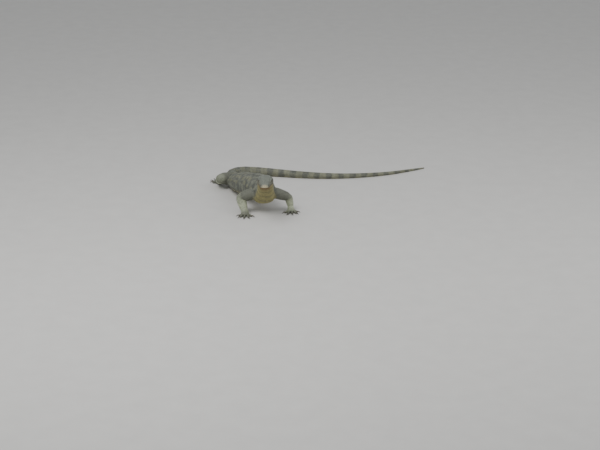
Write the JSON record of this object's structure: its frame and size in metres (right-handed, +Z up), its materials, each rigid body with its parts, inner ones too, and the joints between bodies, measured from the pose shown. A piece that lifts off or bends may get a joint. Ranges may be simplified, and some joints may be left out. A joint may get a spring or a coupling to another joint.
{
  "type": "water monitor lizard",
  "caption": "Life-size still model of a water monitor lizard, front raised on its forelegs, rear body and long tail resting on the floor.",
  "frame": {"origin": "on the floor under the middle of the model's box", "axes": "+Z up from the floor, the head points along -Y, the animal's left is +X"},
  "size_m": [0.9158, 0.7644, 0.1899],
  "materials": {
    "skin": "fine beaded scales, dark grey with rows of paler spots, semi-matt",
    "claw": "horn, near black, paler at the root",
    "eye": "wet, dark brown with a round pupil"
  },
  "bodies": {
    "root": {"head": "skin", "eye_right": "eye", "eye_left": "eye", "neck": "skin", "chest": "skin", "belly": "skin", "hips": "skin", "tail_root": "skin", "tail_upper": "skin", "tail_lower": "skin", "tail_end": "skin", "foreleg_right_arm": "skin", "foreleg_right_forearm": "skin", "foreleg_right_hand": "skin", "foreleg_left_arm": "skin", "foreleg_left_forearm": "skin", "foreleg_left_hand": "skin", "hindleg_right_thigh": "skin", "hindleg_right_shank": "skin", "hindleg_right_foot": "skin", "hindleg_left_thigh": "skin", "hindleg_left_shank": "skin", "hindleg_left_foot": "skin"}
  },
  "joints": []
}
